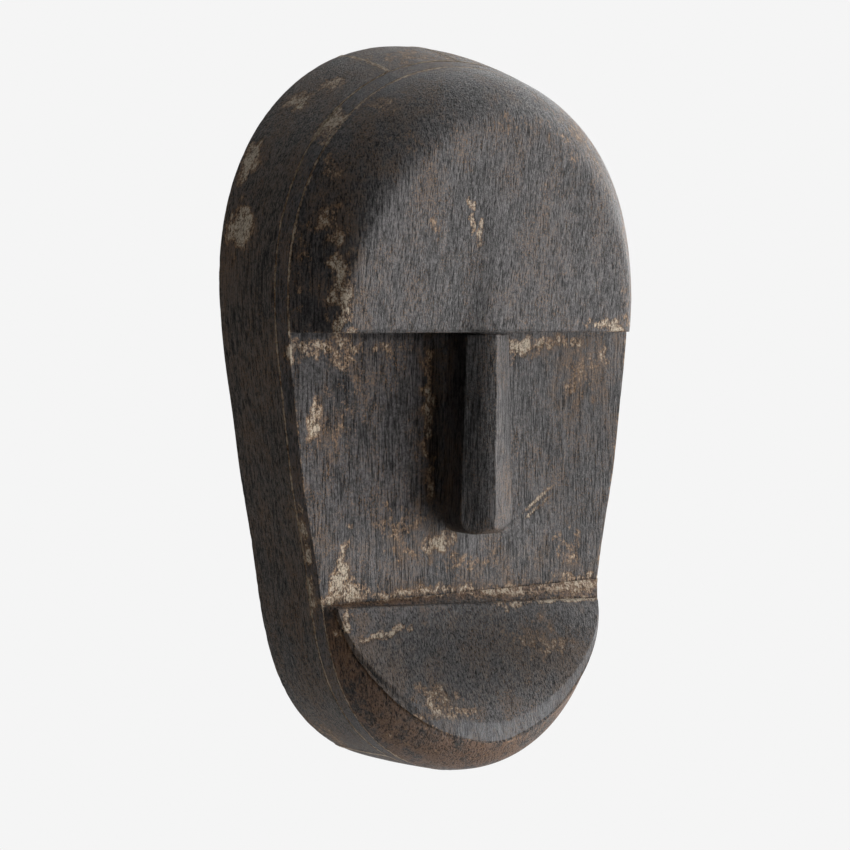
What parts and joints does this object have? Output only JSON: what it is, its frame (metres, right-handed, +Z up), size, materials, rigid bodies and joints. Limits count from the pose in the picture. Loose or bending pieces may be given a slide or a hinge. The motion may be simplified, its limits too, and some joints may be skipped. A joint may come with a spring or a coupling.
{
  "type": "carved wooden wall mask",
  "caption": "Carved wooden wall mask: an egg-shaped hollow shell with a flat face, a raised forehead block, a long faceted nose, a mouth step and a wedge-shaped chin, hung by a swinging ring.",
  "frame": {"origin": "on the flat back, on the middle of the cross board, level with the brow", "axes": "+Z up the face, -Y out of the face, +Y into the wall, +X to the right of someone who faces the mask"},
  "size_m": [0.25, 0.0977, 0.4106],
  "materials": {
    "dark_wood": "dark brown-black stain over open grain, rubbed back to pale wood on edges, worn satin",
    "side_wood": "darker brown-black stain, satin, rubbed patches",
    "jaw_wood": "brown stain worn thin, satin",
    "back_wood": "bare sawn wood, matt",
    "zinc_steel": "zinc-plated steel, dull"
  },
  "bodies": {
    "mask": {"crown_board_left": "side_wood", "crown_board_right": "side_wood", "side_board_left": "side_wood", "side_board_right": "side_wood", "jaw_board_left": "side_wood", "jaw_board_right": "side_wood", "face_board": "dark_wood", "forehead_block": "dark_wood", "nose": "dark_wood", "jaw_block": "jaw_wood", "chin_plate": "dark_wood", "cross_board": "back_wood", "hanger_strap": "zinc_steel", "hanger_screw_upper": "zinc_steel", "hanger_screw_lower": "zinc_steel"},
    "ring": {"hanger_ring": "zinc_steel"}
  },
  "joints": [
    {"name": "ring_swing", "type": "hinge", "parent": "mask", "child": "ring", "pos_m": [0, -0.004, 0.044], "axis": [1, 0, 0], "range_deg": [0, 180]}
  ]
}
